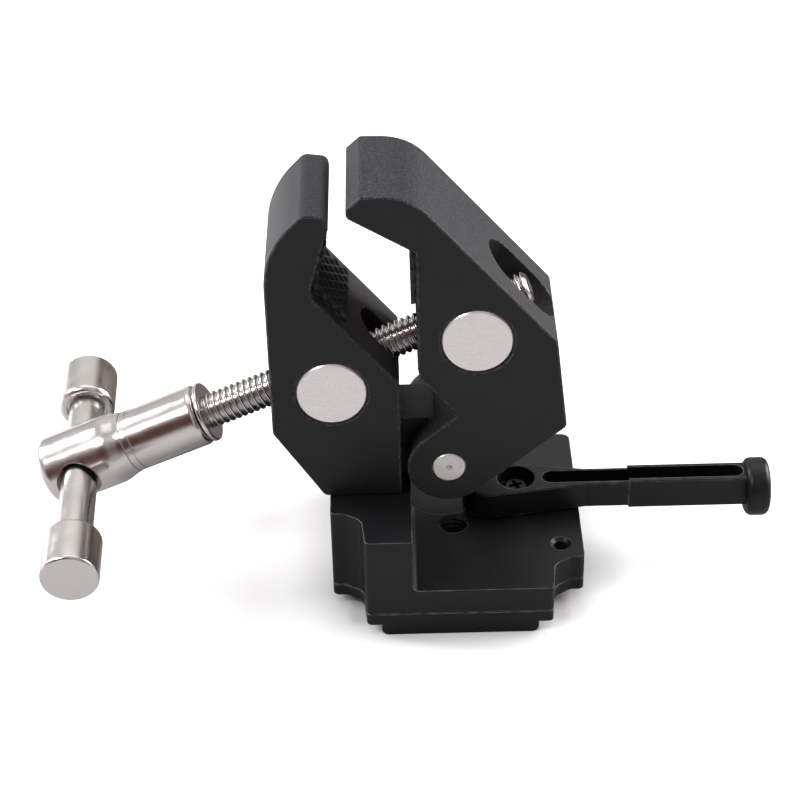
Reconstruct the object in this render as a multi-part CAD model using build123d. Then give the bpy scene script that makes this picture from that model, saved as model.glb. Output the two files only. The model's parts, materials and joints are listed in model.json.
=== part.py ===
from build123d import *
import math
import os

# Super clamp with a camera-plate receiver for a foot.
# Millimetres.  +X runs from the handle towards the lever, +Y away from the front, +Z up.
# The origin lies in the resting plane, below the middle plane of the jaws.

# Driving dimensions
jaw_depth = 27.0
inner_face_x = -8.4
fixed_edge_x = -12.4
outer_face_x = -40.5
pivot_x, pivot_z = -1.8, 33.5
plain_x, plain_z = -27.2, 54.0
nut_x, nut_z = 4.5, 66.7
rivet_radius = 3.7
trunnion_radius = 7.8
running_gap = 0.05
edge_break = 0.35
rim_break = 0.45

tongue_depth = 13.2
tongue_radius = 8.8
ear_radius = 9.2
ear_angle = 41.3
fork_radius = 9.6
fork_gap = 0.25

rod_radius = 4.0
rod_angle = 23.4
rod_tip = 13.0
rod_clearance = 1.4
sleeve_end = -66.6
taper_start = -85.3
taper_end = -89.5
head_end = -106.0
sleeve_radius = 7.0
taper_blend = 9.0
head_radius = 8.15
washer_thickness = 1.1
washer_radius = 6.9
bar_station = -98.1
bar_turn = 4.3
bar_radius = 4.1
bar_near, bar_far = -39.3, 31.4
knob_radius, knob_length = 6.5, 13.2

foot_half_x = 28.5
foot_front, foot_back = -30.9, 26.8
wing_front = -20.1
nose_half_x = 21.4
block_edge_x = -10.4
floor_z, block_z = 12.45, 26.25
wing_bottom_z, lip_z = 2.4, 0.0
seam_z, seam_width, seam_depth = 5.8, 0.3, 0.25
tab_half_x = 17.6
recess_half_x, recess_ceiling_z = 19.0, 8.0
recess_front, recess_back = -28.2, 24.4
quarter_x, quarter_y, quarter_radius = -0.7, -7.1, 3.175
grub_x, grub_y = 23.5, -15.2
jaw_screw_x, jaw_screw_y, jaw_screw_seat_z = -20.0, 8.0, 12.0

lever_x, lever_y = 14.0, 0.2
lever_bottom, lever_top = 13.2, 19.75
lever_half_y = 3.0
lever_step_x, lever_end_x = 40.0, 67.0
lever_knob_radius, lever_knob_length = 6.75, 5.5
lever_swell = 0.6
lever_seat_z, lever_seat_radius = 15.85, 4.4
cam_radius, cam_throw, cam_phase = 3.0, 1.4, -35.0
boss_radius = 4.45
slider_bottom, slider_top = 9.05, 11.05


def side_solid(face, depth, middle=0.0):
    """Extrude an outline given in X and Z over a depth centred on one Y."""
    return Pos(0, middle, 0) * extrude(Plane.XZ * face, depth / 2, both=True)


def rounded_face(corners):
    """Closed outline through (u, v, corner radius) points."""
    face = make_face(Polyline(*[(u, v) for u, v, radius in corners], close=True))
    for u, v, radius in corners:
        if radius > 0:
            face = fillet(face.vertices().sort_by_distance((u, v, 0))[0], radius)
    return face


def cross_pin(x, z, radius, length):
    """A cylinder lying along Y."""
    return Pos(x, 0, z) * Rot(90, 0, 0) * Cylinder(radius, length)


def pin_hole(x, z, radius):
    """Hole for a pin across a jaw, with a broken rim on both sides."""
    hole = cross_pin(x, z, radius, jaw_depth + 2)
    for side in (-1, 1):
        rim = Pos(x, side * (jaw_depth - rim_break) / 2, z) * Rot(-90 * side, 0, 0)
        hole += rim * Cone(radius, radius + rim_break, rim_break)
    return hole


def rod_plane(station, angle=rod_angle):
    """Plane across the clamp screw, a distance along it from the threaded trunnion."""
    run = math.radians(angle)
    along = Vector(math.cos(run), 0, math.sin(run))
    return Plane(Vector(nut_x, 0, nut_z) + along * station, x_dir=(0, 1, 0), z_dir=along)


def rod_piece(start, end, start_radius, end_radius=None):
    """A cylinder or cone about the clamp screw's axis."""
    length = end - start
    middle = rod_plane((start + end) / 2)
    if end_radius is None:
        return middle * Cylinder(start_radius, length)
    return middle * Cone(start_radius, end_radius, length)


def tilt_slot(x, z, radius, low, high, reach):
    """Passage for a rod that leaves (x, z) at any angle between low and high, in degrees."""
    shape = Part()
    for angle in (low, high):
        run = math.radians(angle)
        along = Vector(math.cos(run), 0, math.sin(run))
        middle = Vector(x, 0, z) + along * (reach / 2)
        shape += Plane(middle, z_dir=along) * Cylinder(radius, abs(reach))
    ends = [(x + reach * math.cos(math.radians(a)), z + reach * math.sin(math.radians(a))) for a in (low, high)]
    wedge = make_face(Polyline((x, z), *ends, close=True))
    return shape + side_solid(wedge, 2 * radius)


def break_side_edges(solid, half, size):
    """Small chamfer all round the outline of the two flat sides of a jaw."""
    rims = [edge for edge in solid.edges() if abs(abs(edge.center().Y) - half) < 1e-4]
    return chamfer(rims, size)


# ---- Jaws ----

pad_corner = Vector(-31.0, 79.2)
pad_up = Vector(0.261, 0.965)
pad_down = Vector(0.630, -0.777)
pad_leg = 11.5
pad_half_y = 9.9
pad_sunk, pad_proud = 0.5, 1.2
swing_pad_z, swing_pad_height = 80.7, 13.0


def pad_strip(low, high):
    """Angled strip that follows the hollow of the fixed jaw between two heights above it."""
    up_normal = Vector(pad_up.Y, -pad_up.X)
    down_normal = Vector(-pad_down.Y, pad_down.X)
    bisector = (up_normal + down_normal) * (1 / (1 + up_normal.dot(down_normal)))
    top, bottom = pad_corner + pad_up * pad_leg, pad_corner + pad_down * pad_leg
    points = [
        top + up_normal * low,
        pad_corner + bisector * low,
        bottom + down_normal * low,
        bottom + down_normal * high,
        pad_corner + bisector * high,
        top + up_normal * high,
    ]
    radii = [0, 2.0, 0, 0.4, 4.0, 0.4]
    return rounded_face([(p.X, p.Y, r) for p, r in zip(points, radii)])


def make_fixed_jaw():
    outline = rounded_face([
        (-31.8, 98.8, 2.0),
        (-26.6, 98.1, 1.8),
        (-26.4, 95.2, 1.0),
        (-27.7, 91.4, 0.8),
        (pad_corner.X, pad_corner.Y, 4.0),
        (fixed_edge_x, 56.4, 1.5),
        (fixed_edge_x, block_z, 0.4),
        (-29.6, block_z, 1.5),
        (outer_face_x, 43.6, 2.0),
        (outer_face_x, 89.8, 22.0),
    ])
    jaw = break_side_edges(side_solid(outline, jaw_depth), jaw_depth / 2, edge_break)
    tongue = make_face(Polyline(
        (fixed_edge_x - 4, pivot_z + tongue_radius),
        (pivot_x, pivot_z + tongue_radius),
        (pivot_x, pivot_z - tongue_radius),
        (fixed_edge_x - 4, pivot_z - tongue_radius + 3.6),
        close=True,
    )) + Pos(pivot_x, pivot_z) * Circle(tongue_radius)
    jaw += side_solid(tongue, tongue_depth)
    jaw -= pin_hole(plain_x, plain_z, trunnion_radius + running_gap)
    for reach in (30, -30):
        jaw -= tilt_slot(plain_x, plain_z, 5.0, 2.0, 41.0, reach)
    jaw -= cross_pin(pivot_x, pivot_z, rivet_radius, jaw_depth)
    jaw -= side_solid(pad_strip(-pad_sunk, 0.6), 2 * pad_half_y)
    for side in (-1, 1):
        jaw -= Pos(jaw_screw_x, side * jaw_screw_y, 32) * Cylinder(2.5, 14)
    return jaw


def make_fixed_jaw_pad():
    return side_solid(pad_strip(-pad_sunk, pad_proud), 2 * pad_half_y)


def ear_tangent(side):
    run = math.radians(ear_angle)
    return (
        pivot_x - side * ear_radius * math.sin(run),
        pivot_z + side * ear_radius * math.cos(run),
    )


def make_swing_jaw():
    upper, lower = ear_tangent(1), ear_tangent(-1)
    outline = rounded_face([
        (-22.7, 99.9, 0.6),
        (-19.7, 102.7, 1.0),
        (-9.3, 102.5, 13.0),
        (21.75, 66.15, 2.4),
        (24.2, 43.8, 1.8),
        (*lower, 0),
        (*upper, 0),
        (0.2, 47.5, 0.8),
        (-8.0, 57.7, 1.2),
        (inner_face_x, 60.0, 0),
        (inner_face_x, 89.0, 0.8),
        (-22.7, 97.8, 1.5),
    ]) + Pos(pivot_x, pivot_z) * Circle(ear_radius)
    jaw = break_side_edges(side_solid(outline, jaw_depth), jaw_depth / 2, edge_break)
    fork = Pos(pivot_x, pivot_z) * Circle(fork_radius) + Pos(pivot_x - 9, pivot_z) * Rectangle(18, 2 * fork_radius)
    jaw -= side_solid(fork, tongue_depth + 2 * fork_gap)
    jaw -= cross_pin(pivot_x, pivot_z, rivet_radius + running_gap, jaw_depth + 2)
    jaw -= pin_hole(nut_x, nut_z, trunnion_radius + running_gap)
    jaw -= tilt_slot(nut_x, nut_z, 6.6, 18.0, 56.0, 26)
    jaw -= tilt_slot(nut_x, nut_z, 5.2, 16.0, 41.0, -26)
    jaw -= Pos(inner_face_x, 0, swing_pad_z) * Box(2 * pad_sunk, 2 * pad_half_y, swing_pad_height)
    return jaw


def make_swing_jaw_pad():
    width = pad_sunk + pad_proud
    pad = Pos(inner_face_x + pad_sunk - width / 2, 0, swing_pad_z) * Box(width, 2 * pad_half_y, swing_pad_height)
    return fillet(pad.faces().sort_by(Axis.X)[0].edges(), 0.4)


def make_pivot_rivet():
    rivet = cross_pin(pivot_x, pivot_z, rivet_radius, jaw_depth + 0.4)
    rivet = chamfer(rivet.edges(), 0.25)
    for side in (-1, 1):
        face = Pos(pivot_x, side * (jaw_depth / 2 + 0.2), pivot_z) * Rot(-90 * side, 0, 0)
        rivet -= face * Cone(0.2, 1.3, 0.8)
    return rivet


def make_trunnion(x, z, hole_radius, passage):
    pin = chamfer(cross_pin(x, z, trunnion_radius, jaw_depth).edges(), 0.4)
    return pin - passage * Cylinder(hole_radius, 3 * trunnion_radius)


# ---- Clamp screw and T-handle ----

def make_clamp_screw():
    relief = sleeve_end + washer_thickness + 0.4
    rod = rod_piece(relief, rod_tip - 1.0, rod_radius)
    rod += rod_piece(rod_tip - 1.0, rod_tip, rod_radius, rod_radius - 1.0)
    rod += rod_piece(sleeve_end - 12, relief, rod_radius - 0.6)
    return rod


def end_circle(solid, station):
    circles = solid.edges().filter_by(GeomType.CIRCLE)
    return circles.sort_by_distance(rod_plane(station).origin)[0]


def make_handle_sleeve():
    neck = rod_piece(taper_start, sleeve_end, sleeve_radius)
    neck = fillet(end_circle(neck, sleeve_end), 1.4)
    taper = rod_piece(taper_end, taper_start, head_radius, sleeve_radius)
    head = rod_piece(head_end, taper_end, head_radius)
    head = fillet(end_circle(head, head_end), 2.2)
    sleeve = neck + taper + head
    sleeve = fillet([end_circle(sleeve, station) for station in (taper_start, taper_end)], taper_blend)
    sleeve -= rod_piece(sleeve_end - 12, sleeve_end + 1, rod_radius - 0.6)
    sleeve -= rod_piece(sleeve_end - 1.6, sleeve_end + 1, rod_radius + 1.2)
    for station in (taper_start + 0.3, taper_start + 2.0):
        sleeve -= sleeve_ring(station)
    return sleeve - bar_plane(0) * Cylinder(5.0, 3 * head_radius)


def sleeve_ring(station):
    """Fine turned groove round the sleeve."""
    outside = rod_piece(station - 0.15, station + 0.15, sleeve_radius + 1)
    return outside - rod_piece(station - 0.2, station + 0.2, sleeve_radius - 0.2)


def make_thrust_washer():
    washer = rod_piece(sleeve_end + 0.3, sleeve_end + 0.3 + washer_thickness, washer_radius)
    washer = fillet(washer.edges(), 0.4)
    return washer - rod_piece(sleeve_end - 1, sleeve_end + 3, rod_radius - 0.6 + running_gap)


def bar_plane(station):
    """Plane across the handle bar, a distance along it from the clamp screw's axis."""
    across = rod_plane(bar_station)
    turn = math.radians(bar_turn)
    upward = Vector(-across.z_dir.Z, 0, across.z_dir.X)
    along = Vector(0, 1, 0) * math.cos(turn) + upward * math.sin(turn)
    return Plane(across.origin + along * station, x_dir=across.z_dir, z_dir=along)


def make_handle_bar():
    length = bar_far - bar_near - 2 * knob_length + 16
    return bar_plane((bar_near + bar_far) / 2) * Cylinder(bar_radius, length)


def make_bar_knob(end, outward):
    middle = end - outward * knob_length / 2
    knob = Cylinder(knob_radius, knob_length)
    knob = fillet(knob.edges().sort_by(Axis.Z)[-1], 0.8)
    knob = fillet(knob.edges().sort_by(Axis.Z)[0], 1.4)
    knob -= Pos(0, 0, -knob_length / 2 + 4) * Cylinder(bar_radius, 8)
    knob -= Pos(0, 0, -knob_length / 2) * Cylinder(bar_radius + 0.6, 1.6)
    turn = 0 if outward > 0 else 180
    return bar_plane(middle) * Rot(turn, 0, 0) * knob


# ---- Foot: plate receiver ----

def foot_outline():
    """Square plan with a concave step and a rounded shoulder at each front corner."""
    left = [
        (-nose_half_x + 0.6, foot_front, 1.0),
        (-nose_half_x - 0.2, -22.6, 3.0),
        (-25.6, wing_front, 3.0),
        (-foot_half_x, wing_front, 1.2),
        (-foot_half_x, foot_back, 2.0),
    ]
    right = [(-x, y, radius) for x, y, radius in reversed(left)]
    return rounded_face(left + right)


def make_adapter_body():
    body = Pos(0, 0, wing_bottom_z) * extrude(foot_outline(), block_z - wing_bottom_z)
    body = chamfer(body.edges().group_by(Axis.Z)[0], 0.6)
    body -= parting_seam()
    over_floor = foot_half_x - block_edge_x + 2
    notch = Pos(block_edge_x + over_floor / 2, 0, (floor_z + block_z + 2) / 2)
    notch *= Box(over_floor, 80, block_z + 2 - floor_z)
    notch = fillet(notch.edges().filter_by(Axis.Y).sort_by_distance((block_edge_x, 0, floor_z))[0], 1.2)
    body -= notch
    tab_y = (foot_front + recess_front) / 2
    for y, depth in ((tab_y, recess_front - foot_front), ((foot_back + recess_back) / 2, foot_back - recess_back)):
        tab = Pos(0, y, (wing_bottom_z + 1 + lip_z) / 2) * Box(2 * tab_half_x, depth, wing_bottom_z + 1 - lip_z)
        body += fillet(tab.edges().filter_by(Axis.Y).group_by(Axis.Z)[0], 1.6)
    body -= plate_recess()
    body -= mechanism_pocket()
    pocket_height = block_z + 1 - (floor_z - 0.5)
    body -= Pos(-3.0, 5.5, block_z + 1 - pocket_height / 2) * Cylinder(9.15, pocket_height)
    body -= chamfered_hole(quarter_x, quarter_y, quarter_radius, 0.25)
    body -= chamfered_hole(grub_x, grub_y, 1.65, 0.75)
    for side in (-1, 1):
        body -= Pos(jaw_screw_x, side * jaw_screw_y, jaw_screw_seat_z / 2 - 1) * Cylinder(4.5, jaw_screw_seat_z + 2)
        body -= Pos(jaw_screw_x, side * jaw_screw_y, 20) * Cylinder(2.6, 20)
    return body


def parting_seam():
    """Fine groove round the foot, where its lower frame meets the casting."""
    outline = foot_outline()
    ring = extrude(outline, seam_width) - extrude(offset(outline, -seam_depth), seam_width)
    return Pos(0, 0, seam_z) * ring


def chamfered_hole(x, y, radius, countersink):
    hole = Pos(x, y, floor_z / 2) * Cylinder(radius, floor_z + 4)
    return hole + Pos(x, y, floor_z - countersink / 2) * Cone(radius, radius + countersink, countersink)


def plate_recess():
    """Space for the plate: straight below the ceiling, narrowed by a slanted rail on each long side."""
    half, mouth = recess_half_x, recess_half_x - 2.2
    section = make_face(Polyline(
        (-mouth, lip_z - 1), (mouth, lip_z - 1), (mouth, 3.4), (half, 5.6),
        (half, recess_ceiling_z), (-half, recess_ceiling_z), (-half, 5.6), (-mouth, 3.4),
        close=True,
    ))
    return side_solid(section, recess_back - recess_front, (recess_front + recess_back) / 2)


def mechanism_pocket():
    """Bearing for the lever, the track of the locking slider and the room for its foot."""
    bearing = Pos(lever_x, lever_y, floor_z) * Cylinder(boss_radius + running_gap, 8)
    track = Pos(16.6, lever_y, (recess_ceiling_z + slider_top + 0.15) / 2 - 0.5)
    track *= Box(19.4, 12.4, slider_top + 0.15 - recess_ceiling_z + 1)
    foot = Pos(21.0, lever_y, (slider_top + 0.15 + lip_z) / 2) * Box(10.6, 18.6, slider_top + 0.15 - lip_z + 1)
    return bearing + track + foot


def make_jaw_screw(side):
    head = Pos(jaw_screw_x, side * jaw_screw_y, jaw_screw_seat_z - 2.4) * Cylinder(4.2, 4.8)
    head = chamfer(head.edges(), 0.3)
    head -= Pos(jaw_screw_x, side * jaw_screw_y, 8.2) * extrude(RegularPolygon(2.0, 6), 5, both=True)
    socket = Pos(jaw_screw_x, side * jaw_screw_y, 10.8) * Cylinder(2.5, 2.4)
    shank = Pos(jaw_screw_x, side * jaw_screw_y, 25) * Cylinder(2.5, 26)
    return head + socket + shank


def make_grub_screw():
    grub = Pos(grub_x, grub_y, 8.2) * Cylinder(1.65, 4.6)
    return grub - Pos(grub_x, grub_y, 9.4) * extrude(RegularPolygon(1.0, 6), 1.4)


# ---- Release lever and lock ----

def make_release_lever():
    nose = Pos(8.0, lever_y) * Circle(6.4)
    blend = make_face(Polyline(
        (8.6, lever_y + 6.35), (30.0, lever_y + lever_half_y), (30.0, lever_y - lever_half_y), (8.6, lever_y - 6.35),
        close=True,
    ))
    arm = Pos((28 + lever_step_x) / 2, lever_y) * Rectangle(lever_step_x - 28 + 2, 2 * lever_half_y)
    lever = Pos(0, 0, lever_bottom) * extrude(nose + blend + arm, lever_top - lever_bottom)
    lever = chamfer(lever.faces().sort_by(Axis.Z)[-1].edges(), 0.3)
    grip_height = lever_top - lever_bottom + 2 * lever_swell
    grip = Pos((lever_step_x + lever_end_x) / 2, lever_y, (lever_bottom + lever_top) / 2)
    grip *= Box(lever_end_x - lever_step_x, 2 * lever_half_y + 0.4, grip_height)
    grip = chamfer(grip.edges().filter_by(Axis.X), 0.3)
    lever += grip
    slot_start, slot_end = 20.0, 66.6
    slot = Pos((slot_start + slot_end) / 2, lever_y, lever_top - 4.6)
    lever -= slot * extrude(SlotOverall(slot_end - slot_start, 4.3), 8)
    lever -= Pos(lever_x, lever_y, lever_top) * Cylinder(lever_seat_radius, 2 * (lever_top - lever_seat_z))
    lever += Pos(lever_x, lever_y, (slider_top + 0.2 + lever_bottom) / 2) * Cylinder(
        boss_radius, lever_bottom - slider_top - 0.2)
    lever += Pos(*cam_centre(), (slider_bottom - 0.1 + slider_top + 0.3) / 2) * Cylinder(
        cam_radius, slider_top - slider_bottom + 0.4)
    return lever - Pos(lever_x, lever_y, 12) * Cylinder(1.5, 20)


def cam_centre():
    phase = math.radians(90 + cam_phase)
    return lever_x - cam_throw * math.cos(phase), lever_y - cam_throw * math.sin(phase)


def make_lever_knob():
    knob = Pos(lever_end_x + lever_knob_length / 2, lever_y, 15.6) * Rot(0, 90, 0)
    knob *= Cylinder(lever_knob_radius, lever_knob_length)
    return fillet(knob.edges(), 1.6)


def make_lever_screw():
    head_height, recess_depth, shank_end = 1.9, 1.05, 8.3
    head = Pos(lever_x, lever_y, lever_seat_z + head_height / 2) * Cylinder(2.8, head_height)
    head = fillet(head.edges().sort_by(Axis.Z)[-1], 0.7)
    for turn in (0, 90):
        head -= Pos(lever_x, lever_y, lever_seat_z + head_height) * Rot(0, 0, turn + 20) * Box(
            3.2, 0.9, 2 * recess_depth)
    shank_top = lever_seat_z + 0.5
    return head + Pos(lever_x, lever_y, (shank_end + shank_top) / 2) * Cylinder(1.5, shank_top - shank_end)


def make_lever_washer():
    washer = Pos(lever_x, lever_y, (floor_z + lever_bottom) / 2) * Cylinder(5.2, lever_bottom - floor_z)
    return washer - Pos(lever_x, lever_y, lever_bottom) * Cylinder(boss_radius + running_gap, 6)


def make_lever_retainer():
    plate = Pos(lever_x, lever_y, 8.55) * Cylinder(4.4, 0.7)
    return plate - Pos(lever_x, lever_y, 8.5) * Cylinder(1.5, 4)


def make_lock_slider():
    thickness = slider_top - slider_bottom
    centre_x = cam_centre()[0]
    start = centre_x - cam_radius - 1.6
    plate = Pos((start + 20) / 2, lever_y, slider_bottom + thickness / 2) * Box(20 - start, 11.8, thickness)
    window = Pos(centre_x, lever_y - 0.4, slider_bottom) * Box(2 * (cam_radius + running_gap), 8.6, 10)
    section = make_face(Polyline(
        (19.6, slider_top), (24.2, slider_top), (24.2, 2.8), (17.6, 2.8), (17.6, 3.6), (19.6, 5.6), close=True,
    ))
    return plate - window + side_solid(section, 18.0, lever_y)


def write_parts():
    nut_passage = rod_plane(0)
    plain_passage = Plane((plain_x, 0, plain_z), z_dir=nut_passage.z_dir)
    parts = {
        "adapter_body": make_adapter_body(),
        "fixed_jaw": make_fixed_jaw(),
        "fixed_jaw_pad": make_fixed_jaw_pad(),
        "pivot_rivet": make_pivot_rivet(),
        "jaw_screw_front": make_jaw_screw(-1),
        "jaw_screw_back": make_jaw_screw(1),
        "grub_screw": make_grub_screw(),
        "swing_jaw": make_swing_jaw(),
        "swing_jaw_pad": make_swing_jaw_pad(),
        "plain_trunnion": make_trunnion(plain_x, plain_z, rod_radius + rod_clearance, plain_passage),
        "threaded_trunnion": make_trunnion(nut_x, nut_z, rod_radius + running_gap, nut_passage),
        "clamp_screw": make_clamp_screw(),
        "handle_sleeve": make_handle_sleeve(),
        "thrust_washer": make_thrust_washer(),
        "handle_bar": make_handle_bar(),
        "bar_knob_near": make_bar_knob(bar_near, -1),
        "bar_knob_far": make_bar_knob(bar_far, 1),
        "release_lever": make_release_lever(),
        "lever_knob": make_lever_knob(),
        "lever_screw": make_lever_screw(),
        "lever_washer": make_lever_washer(),
        "lever_retainer": make_lever_retainer(),
        "lock_slider": make_lock_slider(),
    }
    os.makedirs("parts", exist_ok=True)
    for name, shape in parts.items():
        export_step(shape, f"parts/{name}.step")
        size = shape.bounding_box().size
        print(f"{name:20s} {shape.volume:9.1f} mm3  {size.X:6.1f} {size.Y:6.1f} {size.Z:6.1f}")


write_parts()
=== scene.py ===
import json
import math

import bmesh
import bpy
from mathutils import Matrix, Vector
from mathutils.bvhtree import BVHTree


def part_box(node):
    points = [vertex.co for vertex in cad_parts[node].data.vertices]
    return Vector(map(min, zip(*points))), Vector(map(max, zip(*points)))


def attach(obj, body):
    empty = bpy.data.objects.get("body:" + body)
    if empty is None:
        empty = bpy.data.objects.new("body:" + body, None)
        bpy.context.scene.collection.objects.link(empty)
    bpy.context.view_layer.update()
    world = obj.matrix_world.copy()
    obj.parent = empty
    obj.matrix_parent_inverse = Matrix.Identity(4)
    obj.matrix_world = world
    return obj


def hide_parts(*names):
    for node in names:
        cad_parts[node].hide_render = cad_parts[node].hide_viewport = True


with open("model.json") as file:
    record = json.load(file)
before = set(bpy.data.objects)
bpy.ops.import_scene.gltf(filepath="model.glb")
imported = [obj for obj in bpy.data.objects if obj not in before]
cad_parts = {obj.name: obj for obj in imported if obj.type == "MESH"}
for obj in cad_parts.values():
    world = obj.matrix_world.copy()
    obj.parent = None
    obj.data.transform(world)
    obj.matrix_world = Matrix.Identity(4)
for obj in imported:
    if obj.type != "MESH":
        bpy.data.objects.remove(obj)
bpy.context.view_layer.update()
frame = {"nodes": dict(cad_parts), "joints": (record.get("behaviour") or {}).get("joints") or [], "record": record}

MM = 0.001
TURN = 2 * math.pi
nodes = frame["nodes"]
joints = {joint["name"]: joint for joint in frame["joints"]}


# ---- Node helpers ----

def new_material(name):
    material = bpy.data.materials.new(name)
    material.use_nodes = True
    tree = material.node_tree
    return material, tree, tree.nodes["Principled BSDF"]


def node(tree, kind, **settings):
    made = tree.nodes.new(kind)
    for key, value in settings.items():
        setattr(made, key, value)
    return made


def object_coordinates(tree, stretch=(1, 1, 1)):
    source = node(tree, "ShaderNodeTexCoord")
    mapping = node(tree, "ShaderNodeMapping")
    mapping.inputs["Scale"].default_value = stretch
    tree.links.new(source.outputs["Object"], mapping.inputs["Vector"])
    return mapping.outputs["Vector"]


def grain(tree, size, vector, detail=3.0, roughness=0.55):
    """Noise whose blotches are about as large as the size given, in metres."""
    texture = node(tree, "ShaderNodeTexNoise")
    texture.inputs["Scale"].default_value = 1 / size
    texture.inputs["Detail"].default_value = detail
    texture.inputs["Roughness"].default_value = roughness
    tree.links.new(vector, texture.inputs["Vector"])
    return texture.outputs["Fac"]


def remap(tree, value, low, high, new_low, new_high):
    changed = node(tree, "ShaderNodeMapRange", clamp=True)
    for name, number in (("From Min", low), ("From Max", high), ("To Min", new_low), ("To Max", new_high)):
        changed.inputs[name].default_value = number
    tree.links.new(value, changed.inputs["Value"])
    return changed.outputs["Result"]


def combine(tree, operation, first, second):
    maths = node(tree, "ShaderNodeMath", operation=operation)
    for socket, value in zip(maths.inputs, (first, second)):
        if isinstance(value, (int, float)):
            socket.default_value = value
        else:
            tree.links.new(value, socket)
    return maths.outputs[0]


def blend_colour(tree, factor, first, second):
    mix = node(tree, "ShaderNodeMix", data_type="RGBA")
    tree.links.new(factor, mix.inputs["Factor"])
    for name, colour in (("A", first), ("B", second)):
        socket = [s for s in mix.inputs if s.name == name and s.type == "RGBA"][0]
        if isinstance(colour, tuple):
            socket.default_value = (*colour, 1)
        else:
            tree.links.new(colour, socket)
    return [s for s in mix.outputs if s.type == "RGBA"][0]


def soft_edges(tree, radius):
    bevel = node(tree, "ShaderNodeBevel", samples=6)
    bevel.inputs["Radius"].default_value = radius
    return bevel.outputs["Normal"]


def edge_mask(tree, softened, strength):
    """Bright along edges, where the softened normal leaves the true one; it marks where edges are painted lighter,
    as wear and as a painted highlight.
    """
    geometry = node(tree, "ShaderNodeNewGeometry")
    dot = node(tree, "ShaderNodeVectorMath", operation="DOT_PRODUCT")
    tree.links.new(softened, dot.inputs[0])
    tree.links.new(geometry.outputs["Normal"], dot.inputs[1])
    return remap(tree, dot.outputs["Value"], 0.995, 0.80, 0.0, strength)


def bumped(tree, height, depth, normal):
    bump = node(tree, "ShaderNodeBump")
    bump.inputs["Distance"].default_value = depth
    bump.inputs["Strength"].default_value = 1.0
    tree.links.new(height, bump.inputs["Height"])
    tree.links.new(normal, bump.inputs["Normal"])
    return bump.outputs["Normal"]


def side_mask(tree):
    """One on the flat sides that face along Y, zero elsewhere."""
    source = node(tree, "ShaderNodeTexCoord")
    split = node(tree, "ShaderNodeSeparateXYZ")
    tree.links.new(source.outputs["Normal"], split.inputs[0])
    return remap(tree, combine(tree, "ABSOLUTE", split.outputs["Y"], 0), 0.90, 0.99, 0.0, 1.0)


# ---- Materials ----

def blasted_anodised(name):
    """Bead-blasted aluminium, black anodised; the flat sides are finer than the outer faces. The outer faces'
    specks also paint them lighter, and the flat sides facing along Y darker, as the light falls.
    """
    material, tree, shader = new_material(name)
    where = object_coordinates(tree)
    sides = side_mask(tree)
    fine = grain(tree, 0.42 * MM, where, 3.0, 0.65)
    broad = grain(tree, 6.0 * MM, where, 4.0, 0.6)
    # The specks are the blasted grain; weighted by face, they also paint the outer faces lighter and the flat
    # Y-facing sides darker, as the light falls.
    blasted_and_lit_faces = remap(tree, sides, 0, 1, 1.0, 0.06)
    specks_and_face_light = combine(tree, "MULTIPLY", remap(tree, fine, 0.42, 0.66, 0.0, 1.0), blasted_and_lit_faces)
    softened = soft_edges(tree, 0.35 * MM)
    # Edges, broken up by noise, are painted light grey: partly wear, partly a painted highlight along convex and
    # hollow edges alike.
    edge_breakup = remap(tree, grain(tree, 1.1 * MM, where, 4.0, 0.7), 0.47, 0.60, 0.0, 1.0)
    edge_wear_and_highlight = combine(tree, "MULTIPLY", edge_mask(tree, softened, 0.9), edge_breakup)
    colour = blend_colour(tree, broad, (0.0052, 0.0050, 0.0062), (0.0080, 0.0078, 0.0094))
    # Lighter specks: blasted grain, and painted light on the outer faces.
    colour = blend_colour(tree, specks_and_face_light, colour, (0.040, 0.039, 0.045))
    # Light grey on the edges: wear and a painted edge highlight.
    colour = blend_colour(tree, edge_wear_and_highlight, colour, (0.30, 0.30, 0.305))
    tree.links.new(colour, shader.inputs["Base Color"])
    rough = combine(tree, "ADD", remap(tree, fine, 0.3, 0.7, 0.44, 0.60),
                    remap(tree, sides, 0, 1, 0.0, -0.04))
    tree.links.new(rough, shader.inputs["Roughness"])
    shader.inputs["Specular IOR Level"].default_value = 0.27
    depth = combine(tree, "MULTIPLY", fine, remap(tree, sides, 0, 1, 1.0, 0.30))
    tree.links.new(bumped(tree, depth, 0.05 * MM, softened), shader.inputs["Normal"])
    return material


def satin_anodised(name, roughness):
    """Smooth milled aluminium, black anodised, with faint tool marks."""
    material, tree, shader = new_material(name)
    where = object_coordinates(tree)
    marks = grain(tree, 0.5 * MM, object_coordinates(tree, (0.12, 1, 1)), 2.0)
    broad = grain(tree, 9.0 * MM, where, 5.0, 0.6)
    softened = soft_edges(tree, 0.35 * MM)
    # Edges, broken up by noise, are painted light grey: partly wear, partly a painted highlight along convex and
    # hollow edges alike.
    edge_breakup = remap(tree, grain(tree, 2.2 * MM, where), 0.35, 0.65, 0.25, 1.0)
    edge_wear_and_highlight = combine(tree, "MULTIPLY", edge_mask(tree, softened, 0.9), edge_breakup)
    colour = blend_colour(tree, broad, (0.0042, 0.0043, 0.0050), (0.0070, 0.0071, 0.0083))
    # Light grey on the edges: wear and a painted edge highlight.
    colour = blend_colour(tree, edge_wear_and_highlight, colour, (0.26, 0.26, 0.265))
    tree.links.new(colour, shader.inputs["Base Color"])
    spread = combine(tree, "ADD", remap(tree, broad, 0.3, 0.7, roughness - 0.04, roughness + 0.05),
                     remap(tree, marks, 0.3, 0.7, -0.02, 0.02))
    tree.links.new(spread, shader.inputs["Roughness"])
    shader.inputs["Specular IOR Level"].default_value = 0.25
    tree.links.new(bumped(tree, marks, 0.004 * MM, softened), shader.inputs["Normal"])
    return material


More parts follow.
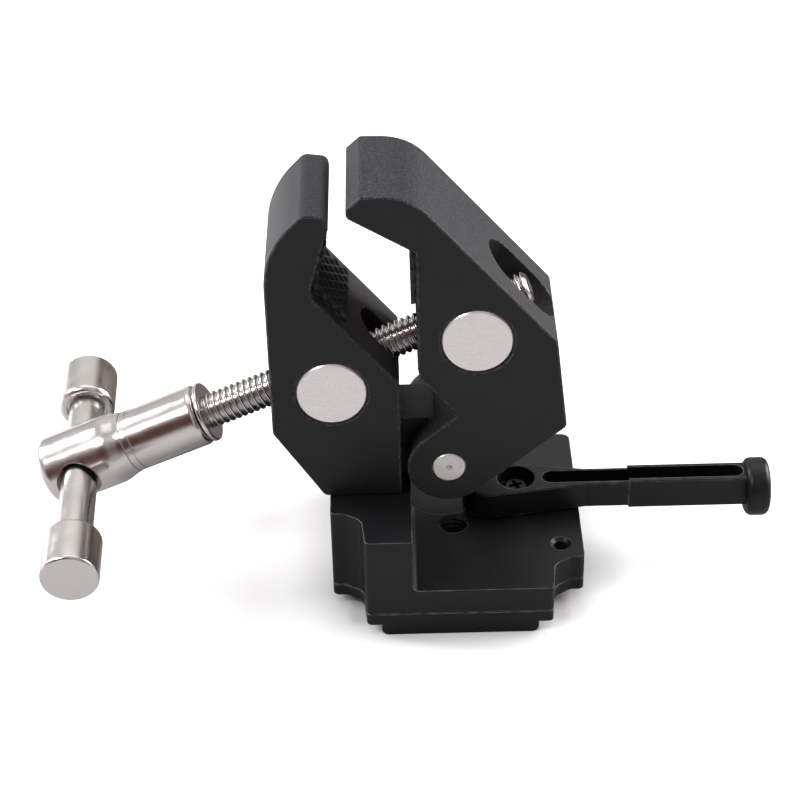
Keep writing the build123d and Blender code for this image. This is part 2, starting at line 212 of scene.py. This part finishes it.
def along_axis(tree, axis):
    """Distance along an axis of the object, for turning marks that run round it."""
    source = node(tree, "ShaderNodeTexCoord")
    dot = node(tree, "ShaderNodeVectorMath", operation="DOT_PRODUCT")
    dot.inputs[1].default_value = axis
    tree.links.new(source.outputs["Object"], dot.inputs[0])
    return dot.outputs["Value"]


def turned_nickel(name, axis, roughness):
    """Nickel over a turned surface: fine rings round the axis, tiny pits and slight clouding."""
    material, tree, shader = new_material(name)
    where = object_coordinates(tree)
    rings = node(tree, "ShaderNodeTexNoise", noise_dimensions="1D")
    rings.inputs["Scale"].default_value = 1 / (0.16 * MM)
    rings.inputs["Detail"].default_value = 3.0
    tree.links.new(along_axis(tree, axis), rings.inputs["W"])
    cloud = grain(tree, 5.0 * MM, where, 4.0, 0.6)
    smudge = grain(tree, 1.3 * MM, where, 3.0, 0.6)
    pits = remap(tree, grain(tree, 0.30 * MM, where, 3.0, 0.7), 0.38, 0.60, 0.0, 1.0)
    pitted = bumped(tree, pits, 0.0035 * MM, soft_edges(tree, 0.2 * MM))
    colour = blend_colour(tree, cloud, (0.56, 0.53, 0.515), (0.62, 0.59, 0.58))
    tree.links.new(colour, shader.inputs["Base Color"])
    spread = combine(tree, "ADD", remap(tree, cloud, 0.3, 0.7, roughness - 0.03, roughness + 0.05),
                     remap(tree, smudge, 0.35, 0.75, -0.01, 0.03))
    tree.links.new(spread, shader.inputs["Roughness"])
    shader.inputs["Metallic"].default_value = 1.0
    tree.links.new(bumped(tree, rings.outputs["Fac"], 0.0022 * MM, pitted), shader.inputs["Normal"])
    return material


def satin_steel(name, light, dark, roughness, brush_depth):
    """Plated, bare or blackened steel with a dull, finely brushed face."""
    material, tree, shader = new_material(name)
    where = object_coordinates(tree)
    brushed = grain(tree, 0.35 * MM, object_coordinates(tree, (0.15, 1, 1)), 3.0)
    cloud = grain(tree, 3.0 * MM, where, 4.0, 0.6)
    softened = soft_edges(tree, 0.15 * MM)
    tree.links.new(blend_colour(tree, cloud, dark, light), shader.inputs["Base Color"])
    spread = remap(tree, brushed, 0.3, 0.7, roughness - 0.05, roughness + 0.07)
    tree.links.new(spread, shader.inputs["Roughness"])
    shader.inputs["Metallic"].default_value = 1.0
    tree.links.new(bumped(tree, brushed, brush_depth, softened), shader.inputs["Normal"])
    return material


def moulded(name, tone, roughness):
    """Black rubber or plastic with a fine moulded skin."""
    material, tree, shader = new_material(name)
    where = object_coordinates(tree)
    skin = grain(tree, 0.15 * MM, where, 3.0)
    dust = grain(tree, 1.1 * MM, where, 4.0, 0.65)
    darker = tuple(0.6 * channel for channel in tone)
    tree.links.new(blend_colour(tree, dust, darker, tone), shader.inputs["Base Color"])
    spread = remap(tree, dust, 0.3, 0.7, roughness - 0.06, roughness + 0.08)
    tree.links.new(spread, shader.inputs["Roughness"])
    shader.inputs["Specular IOR Level"].default_value = 0.4
    tree.links.new(bumped(tree, skin, 0.02 * MM, soft_edges(tree, 0.1 * MM)), shader.inputs["Normal"])
    return material


def clothe(node_name, material):
    """Give a CAD node its finish."""
    mesh = nodes[node_name].data
    mesh.materials.clear()
    mesh.materials.append(material)


# ---- The clamp screw's own frame ----

screw_joint = joints["screw_turn"]
screw_axis = -Vector(screw_joint["axis"]).normalized()
screw_origin = Vector(screw_joint["pos_m"])
screw_side = Vector((0, 1, 0))
screw_up = screw_axis.cross(screw_side)
screw_frame = Matrix((screw_side, screw_up, screw_axis)).transposed().to_4x4()
screw_frame.translation = screw_origin


def axial_span(node_name):
    """Lowest and highest station of a CAD node along the clamp screw, from the screw joint's point."""
    stations = [(v.co - screw_origin).dot(screw_axis) for v in nodes[node_name].data.vertices]
    return min(stations), max(stations)


# ---- Mesh pieces ----

rib_pitch = 2.26 * MM
rib_rise = 0.85 * MM
cells_per_rib = 20
rib_cell = rib_pitch * math.sqrt(2) / cells_per_rib


def finish_piece(name, bm, material, body):
    bmesh.ops.recalc_face_normals(bm, faces=bm.faces)
    mesh = bpy.data.meshes.new(name)
    bm.to_mesh(mesh)
    bm.free()
    mesh.shade_smooth()
    mesh.materials.append(material)
    piece = bpy.data.objects.new(name, mesh)
    bpy.context.scene.collection.objects.link(piece)
    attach(piece, body)
    return piece


def ring_surface(bm, rings):
    """Skin a list of closed rings, each a list of points of one length, with quads."""
    loops = [[bm.verts.new(point) for point in ring] for ring in rings]
    count = len(loops[0])
    for lower, upper in zip(loops, loops[1:]):
        for i in range(count):
            j = (i + 1) % count
            bm.faces.new((lower[i], lower[j], upper[j], upper[i]))
    return loops


def cap(bm, loop, centre):
    """Close a ring with a fan of triangles."""
    hub = bm.verts.new(centre)
    for i, vertex in enumerate(loop):
        bm.faces.new((vertex, loop[(i + 1) % len(loop)], hub))


def circle(radius, height, count):
    """Points round the Z axis at one height."""
    return [(radius * math.cos(TURN * i / count), radius * math.sin(TURN * i / count), height)
            for i in range(count)]


def thread_radius(phase, crest, root):
    """Rounded thread, with its crests a little wider than its roots."""
    wave = 0.5 + 0.5 * math.cos(TURN * phase)
    return root + (crest - root) * wave ** 0.85


def make_clamp_screw(material):
    """The screw with its real thread: a plain neck in the sleeve, the thread, and a chamfered point."""
    pitch, crest, root = 1.5 * MM, 4.0 * MM, 3.28 * MM
    start, end = axial_span("clamp_screw")
    neck_radius, neck_end, hairline = 3.35 * MM, start + 13.5 * MM, 0.01 * MM
    run_in, point_length, point_radius = 0.3 * MM, 1.0 * MM, 3.0 * MM
    dimple_depth, dimple_share = 0.5 * MM, 0.55
    around, per_pitch = 60, 14
    steps = math.ceil((end - neck_end) / pitch * per_pitch)
    rings = [circle(neck_radius, station, around) for station in (start, neck_end - hairline)]
    for step in range(steps + 1):
        station = neck_end + (end - neck_end) * step / steps
        limit = crest
        if station < neck_end + run_in:
            limit = neck_radius + (crest - neck_radius) * (station - neck_end) / run_in
        if station > end - point_length:
            limit = crest + (point_radius - crest) * (station - end + point_length) / point_length
        ring = []
        for i in range(around):
            turn = i / around
            radius = min(limit, thread_radius(station / pitch - turn, crest, root))
            ring.append((radius * math.cos(TURN * turn), radius * math.sin(TURN * turn), station))
        rings.append(ring)
    bm = bmesh.new()
    loops = ring_surface(bm, rings)
    cap(bm, loops[0], (0, 0, start))
    inner = [bm.verts.new((v.co.x * dimple_share, v.co.y * dimple_share, end)) for v in loops[-1]]
    for i, vertex in enumerate(loops[-1]):
        j = (i + 1) % around
        bm.faces.new((vertex, loops[-1][j], inner[j], inner[i]))
    cap(bm, inner, (0, 0, end - dimple_depth))
    bm.transform(screw_frame)
    piece = finish_piece("threaded_screw", bm, material, "screw_and_handle")
    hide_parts("clamp_screw")


def make_hole_thread(material):
    """Internal thread of the camera-screw hole, from below its countersink to the recess."""
    mount = [m for m in frame["record"]["mounts"] if m["name"] == "camera_screw_hole"][0]
    centre = Vector(mount["pos_m"])
    wall = mount["dims"]["r_mm"] * MM
    pitch, depth, run_out, least_depth = 1.27 * MM, 0.52 * MM, 0.35 * MM, 0.05
    proud, sunk, merge_distance = 0.02 * MM, 0.1 * MM, 1e-7
    around, per_pitch = 64, 12
    half = mount["dims"]["length_mm"] * MM / 2
    steps = math.ceil(2 * half / pitch * per_pitch)
    inside, outside = [], []
    for step in range(steps + 1):
        height = -half + 2 * half * step / steps
        fade = min(1.0, (half - abs(height)) / run_out + least_depth)
        ring = []
        for i in range(around):
            turn = i / around
            wave = abs(2 * ((height / pitch - turn) % 1.0) - 1)
            radius = wall - proud - depth * fade * wave
            ring.append((radius * math.cos(TURN * turn), radius * math.sin(TURN * turn), height))
        inside.append(ring)
        outside.append(circle(wall + sunk, height, around))
    bm = bmesh.new()
    ring_surface(bm, inside + [outside[-1], outside[0], inside[0]])
    bmesh.ops.remove_doubles(bm, verts=bm.verts, dist=merge_distance)
    bm.transform(Matrix.Translation(centre))
    finish_piece("camera_hole_thread", bm, material, "foot_and_fixed_jaw")


def rib_height(across, along):
    """How far a pad's surface stands above the bottom of its cells: ribs on two diagonals."""
    top, slope = 0.42 * MM, 0.26 * MM
    diagonals = ((across + along) / math.sqrt(2), (across - along) / math.sqrt(2))
    nearest = min(abs((d / rib_pitch + 0.5) % 1.0 - 0.5) * rib_pitch for d in diagonals)
    ridge = max(0.0, min(1.0, (top / 2 + slope - nearest) / slope))
    return rib_rise * ridge


def proud_line(mesh, outward):
    """Points along the middle of a pad's proud face, evenly spaced, with their normals.

    Rays are cast against the outward direction. A hit counts where the face looks mostly outward.
    """
    rays, stand_off, facing, neighbours = 400, 5 * MM, 0.55, 3
    surface = BVHTree.FromPolygons([v.co for v in mesh.vertices], [p.vertices for p in mesh.polygons])
    along = outward.cross(Vector((0, 1, 0)))
    reach = [v.co.dot(along) for v in mesh.vertices]
    level = max(v.co.dot(outward) for v in mesh.vertices) + stand_off
    hits = []
    for i in range(1, rays):
        start = along * (min(reach) + (max(reach) - min(reach)) * i / rays) + outward * level
        point, normal = surface.ray_cast(start, -outward)[:2]
        if normal.dot(outward) > facing:
            hits.append(point)
    lengths = [0.0]
    for a, b in zip(hits, hits[1:]):
        lengths.append(lengths[-1] + (b - a).length)
    line = []
    for distance in stops(0.0, lengths[-1], rib_cell):
        k = max(1, min(len(hits) - 1, sum(1 for length in lengths if length < distance)))
        part = (distance - lengths[k - 1]) / (lengths[k] - lengths[k - 1])
        line.append((distance - lengths[-1] / 2, hits[k - 1].lerp(hits[k], part)))
    points = [point for _, point in line]
    normals = []
    for i in range(len(points)):
        run = points[min(i + neighbours, len(points) - 1)] - points[max(i - neighbours, 0)]
        normal = run.cross(Vector((0, 1, 0))).normalized()
        normals.append(normal if normal.dot(outward) > 0 else -normal)
    return [(along_at, point, normal) for (along_at, point), normal in zip(line, normals)]


def stops(low, high, step):
    """Both ends of a span, and the multiples of a step between them."""
    first, last = math.floor(low / step) + 1, math.ceil(high / step) - 1
    return [low] + [i * step for i in range(first, last + 1)] + [high]


def make_ribbed_pad(name, cad_node, outward, body, material):
    """A moulded pad with diagonal ribs, in the place of its plain CAD solid."""
    thickness = 1.5 * MM
    line = proud_line(nodes[cad_node].data, outward.normalized())
    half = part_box(cad_node)[1][1]
    columns = stops(-half, half, rib_cell)
    bm = bmesh.new()
    top, back = [], []
    for along_at, point, normal in line:
        row = []
        for y in columns:
            at = point + normal * (rib_height(y, along_at) - rib_rise)
            row.append(bm.verts.new((at.x, y, at.z)))
        top.append(row)
        deep = point - normal * thickness
        back.append([bm.verts.new((deep.x, y, deep.z)) for y in (columns[0], columns[-1])])
    for lower, upper in zip(top, top[1:]):
        for i in range(len(columns) - 1):
            bm.faces.new((lower[i], lower[i + 1], upper[i + 1], upper[i]))
    for k in range(len(top) - 1):
        bm.faces.new((top[k][0], top[k + 1][0], back[k + 1][0], back[k][0]))
        bm.faces.new((top[k][-1], back[k][1], back[k + 1][1], top[k + 1][-1]))
        bm.faces.new((back[k][0], back[k + 1][0], back[k + 1][1], back[k][1]))
    for k in (0, -1):
        bm.faces.new([back[k][0], *top[k], back[k][1]])
    piece = finish_piece(name, bm, material, body)
    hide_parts(cad_node)


# ---- Stage, light and camera ----

clamp_middle = Vector((0, 0, 0.05))


def outside_foot(tree):
    """Zero on the floor under the foot, one elsewhere, with a narrow blend just inside its outline."""
    low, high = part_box("adapter_body")
    blend_start, blend_end = 5 * MM, 3 * MM
    split = node(tree, "ShaderNodeSeparateXYZ")
    tree.links.new(object_coordinates(tree), split.inputs[0])
    covered = 1.0
    for axis, i in (("X", 0), ("Y", 1)):
        middle, half = (low[i] + high[i]) / 2, (high[i] - low[i]) / 2
        offset = combine(tree, "ABSOLUTE", combine(tree, "SUBTRACT", split.outputs[axis], middle), 0)
        inside = remap(tree, offset, half - blend_start, half - blend_end, 1.0, 0.0)
        covered = combine(tree, "MULTIPLY", inside, covered)
    return combine(tree, "SUBTRACT", 1.0, covered)


def make_floor():
    """Pale floor, lifted to white where it is seen directly.

    Reflections see it dimmer in front, brighter behind on the left, and dark behind the clamp.
    """
    material, tree, shader = new_material("pale_floor")
    paper = grain(tree, 3.0 * MM, object_coordinates(tree), 3.0)
    path = node(tree, "ShaderNodeLightPath")
    pale = blend_colour(tree, paper, (0.62, 0.615, 0.61), (0.64, 0.635, 0.63))
    split = node(tree, "ShaderNodeSeparateXYZ")
    tree.links.new(object_coordinates(tree), split.inputs[0])
    behind = remap(tree, split.outputs["Y"], -0.02, 0.02, 0.0, 1.0)
    right_side = remap(tree, split.outputs["X"], -0.14, -0.07, 0.0, 1.0)
    far_floor = blend_colour(tree, right_side, (0.72, 0.71, 0.71), (0.09, 0.075, 0.07))
    reflected = blend_colour(tree, behind, (0.44, 0.43, 0.435), far_floor)
    seen = blend_colour(tree, path.outputs["Is Glossy Ray"], pale, reflected)
    tree.links.new(seen, shader.inputs["Base Color"])
    shader.inputs["Roughness"].default_value = 0.8
    shader.inputs["Specular IOR Level"].default_value = 0.1
    shader.inputs["Emission Color"].default_value = (1, 1, 1, 1)
    openness = node(tree, "ShaderNodeAmbientOcclusion", samples=4)
    openness.inputs["Distance"].default_value = 12 * MM
    lift = combine(tree, "MULTIPLY", remap(tree, openness.outputs["AO"], 0.35, 1.0, 0.0, 0.42),
                   combine(tree, "MULTIPLY", path.outputs["Is Camera Ray"], outside_foot(tree)))
    tree.links.new(lift, shader.inputs["Emission Strength"])
    half = 4.0
    mesh = bpy.data.meshes.new("floor")
    corners = [(-half, -half, 0), (half, -half, 0), (half, half, 0), (-half, half, 0)]
    mesh.from_pydata(corners, [], [(0, 1, 2, 3)])
    mesh.materials.append(material)
    floor = bpy.data.objects.new("floor", mesh)
    bpy.context.scene.collection.objects.link(floor)


def make_world():
    """Pale studio, white behind the object.

    Surfaces also reflect a lighter wall behind, and the dim warm room in front and to the right.
    Each patch has its direction, the cosines at which it starts and is full, and its colour.
    """
    world = bpy.data.worlds.new("studio")
    bpy.context.scene.world = world
    world.use_nodes = True
    tree = world.node_tree
    background = tree.nodes["Background"]
    source = node(tree, "ShaderNodeTexCoord")
    colour = (0.62, 0.615, 0.62)
    for direction, start, full, tint in (
        ((-0.10, 0.80, 0.60), 0.84, 0.96, (0.95, 0.93, 0.92)),
        ((-0.36, -0.86, 0.36), 0.80, 0.965, (0.11, 0.048, 0.040)),
        ((0.62, 0.76, 0.16), 0.84, 0.95, (0.16, 0.11, 0.10)),
        ((0.75, -0.60, 0.30), 0.86, 0.98, (0.22, 0.17, 0.16)),
    ):
        dot = node(tree, "ShaderNodeVectorMath", operation="DOT_PRODUCT")
        dot.inputs[1].default_value = Vector(direction).normalized()
        tree.links.new(source.outputs["Generated"], dot.inputs[0])
        colour = blend_colour(tree, remap(tree, dot.outputs["Value"], start, full, 0.0, 1.0), colour, tint)
    path = node(tree, "ShaderNodeLightPath")
    colour = blend_colour(tree, path.outputs["Is Camera Ray"], colour, (1.0, 1.0, 1.0))
    tree.links.new(colour, background.inputs["Color"])
    background.inputs["Strength"].default_value = 1.0


def make_light(name, place, size, power):
    """Soft rectangular lamp that points at the middle of the clamp, unseen by the camera."""
    light = bpy.data.lights.new(name, "AREA")
    light.shape = "RECTANGLE"
    light.size, light.size_y = size
    light.energy = power
    lamp = bpy.data.objects.new(name, light)
    lamp.location = place
    lamp.rotation_mode = "QUATERNION"
    lamp.rotation_quaternion = (clamp_middle - Vector(place)).to_track_quat("-Z", "Y")
    lamp.visible_camera = False
    bpy.context.scene.collection.objects.link(lamp)


def make_camera():
    """Camera in front of the clamp and above it, turned slightly about its own axis."""
    elevation, azimuth, roll = math.radians(35.204), math.radians(-0.08), math.radians(-1.327)
    aim, distance = Vector((-0.01235, 0.0, 0.0426)), 0.48554
    camera_data = bpy.data.cameras.new("camera")
    camera_data.sensor_width, camera_data.lens = 36.0, 97.10
    camera_data.clip_start, camera_data.clip_end = 0.01, 20.0
    camera = bpy.data.objects.new("camera", camera_data)
    back = Vector((math.sin(azimuth) * math.cos(elevation), -math.cos(azimuth) * math.cos(elevation),
                   math.sin(elevation)))
    right = (-back).cross(Vector((0, 0, 1))).normalized()
    up = right.cross(-back)
    turned_right = right * math.cos(roll) + up * math.sin(roll)
    turned_up = up * math.cos(roll) - right * math.sin(roll)
    camera.matrix_world = Matrix.LocRotScale(
        aim + back * distance, Matrix((turned_right, turned_up, back)).transposed().to_quaternion(), None)
    bpy.context.scene.collection.objects.link(camera)
    bpy.context.scene.camera = camera


# ---- The object's finishes and pieces ----

bar_axis = Vector(joints["bar_slide"]["axis"]).normalized()
blasted = blasted_anodised("blasted_anodised")
satin_black = satin_anodised("satin_anodised", 0.42)
lever_black = satin_anodised("lever_anodised", 0.36)
screw_nickel = turned_nickel("turned_nickel_screw", screw_axis, 0.17)
bar_nickel = turned_nickel("turned_nickel_bar", bar_axis, 0.20)
pin_nickel = satin_steel("satin_nickel", (0.73, 0.695, 0.69), (0.69, 0.655, 0.65), 0.30, 0.0012 * MM)
dull_steel = satin_steel("dull_steel", (0.72, 0.69, 0.67), (0.54, 0.515, 0.505), 0.42, 0.03 * MM)
black_steel = satin_steel("blackened_steel", (0.040, 0.041, 0.043), (0.020, 0.020, 0.022), 0.34, 0.006 * MM)
rubber = moulded("pad_rubber", (0.018, 0.018, 0.019), 0.62)
nylon = moulded("washer_nylon", (0.02, 0.02, 0.021), 0.45)

finishes = {
    blasted: ["fixed_jaw", "swing_jaw"],
    satin_black: ["adapter_body", "lock_slider"],
    lever_black: ["release_lever", "lever_knob"],
    screw_nickel: ["clamp_screw", "handle_sleeve", "thrust_washer"],
    bar_nickel: ["handle_bar", "bar_knob_near", "bar_knob_far"],
    pin_nickel: ["plain_trunnion", "threaded_trunnion"],
    dull_steel: ["pivot_rivet"],
    black_steel: ["jaw_screw_front", "jaw_screw_back", "grub_screw", "lever_screw", "lever_retainer"],
    rubber: ["fixed_jaw_pad", "swing_jaw_pad"],
    nylon: ["lever_washer"],
}
for finish, names in finishes.items():
    for name in names:
        clothe(name, finish)

make_clamp_screw(screw_nickel)
make_hole_thread(satin_black)
make_ribbed_pad("fixed_pad_ribbed", "fixed_jaw_pad", Vector((0.94, 0, 0.2)), "foot_and_fixed_jaw", rubber)
make_ribbed_pad("swing_pad_ribbed", "swing_jaw_pad", Vector((-1, 0, 0)), "swing_jaw", rubber)

make_camera()
make_floor()
make_world()
make_light("key", (-0.50, -0.30, 0.66), (0.24, 0.20), 2.6)
make_light("left", (-0.75, 0.25, 0.45), (0.28, 0.28), 9.5)
make_light("right", (0.75, 0.28, 0.42), (0.6, 0.5), 13.0)
make_light("top", (0.0, 0.35, 0.95), (0.9, 0.6), 2.0)

bpy.context.scene.view_settings.view_transform = "Standard"
bpy.context.scene.view_settings.look = "None"
